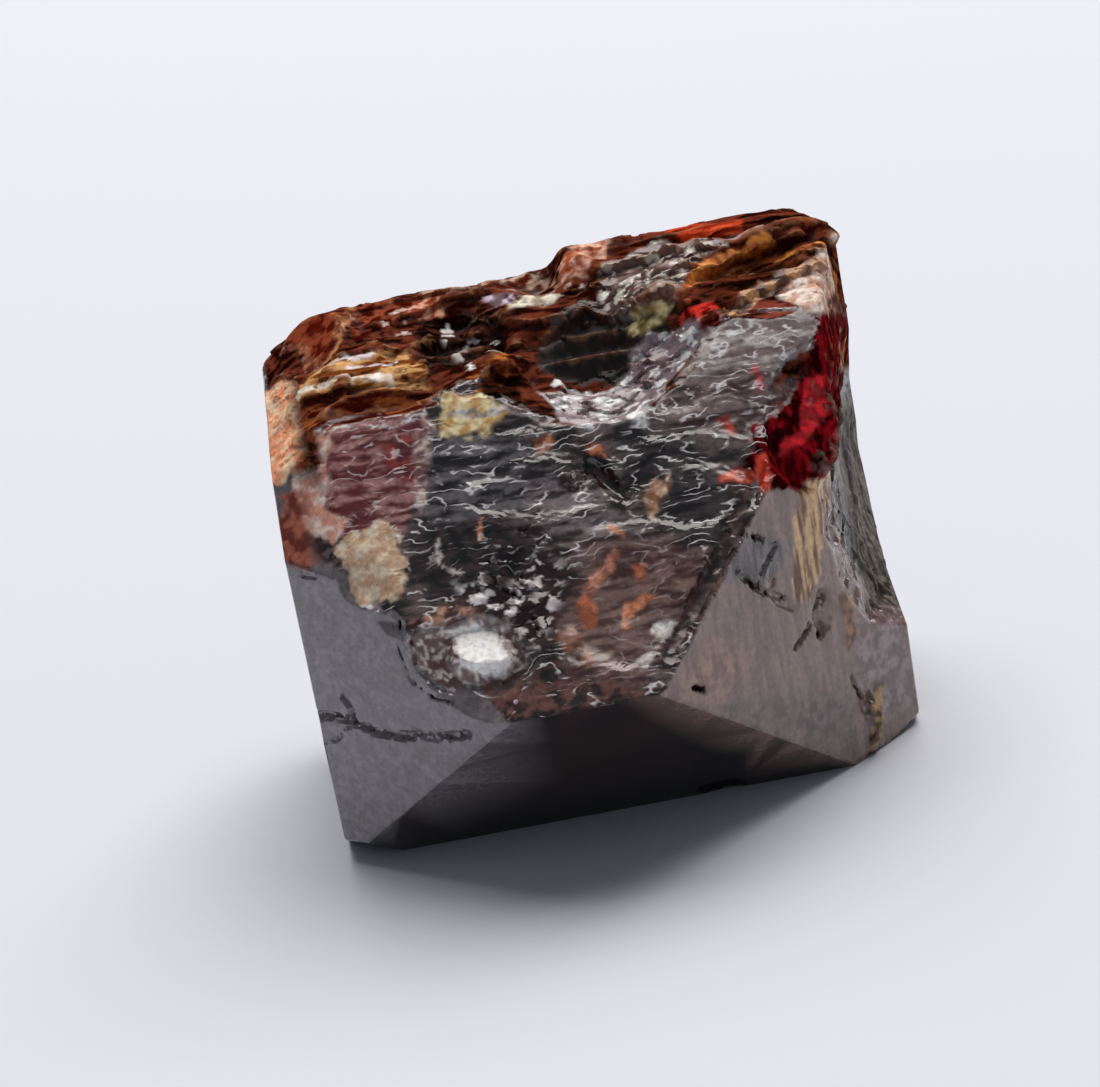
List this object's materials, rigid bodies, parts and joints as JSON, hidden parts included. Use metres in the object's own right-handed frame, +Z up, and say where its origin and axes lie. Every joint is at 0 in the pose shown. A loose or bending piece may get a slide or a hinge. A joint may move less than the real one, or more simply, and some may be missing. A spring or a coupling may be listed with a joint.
{
  "type": "zircon crystal",
  "caption": "Dark red-brown zircon crystal: a short square prism with a pyramid end, broken at its top, back and one side.",
  "frame": {"origin": "on the face the crystal rests on, near the middle of the broken prism", "axes": "+Z up from the resting face; the pyramid end points to -Y, along the crystal's c axis; +X runs across the width, to the right seen from the pyramid end"},
  "size_m": [0.024, 0.0208, 0.0207],
  "materials": {
    "stone": "vitreous, satin on the etched faces"
  },
  "bodies": {
    "root": {"zircon_crystal": "stone"}
  },
  "joints": []
}
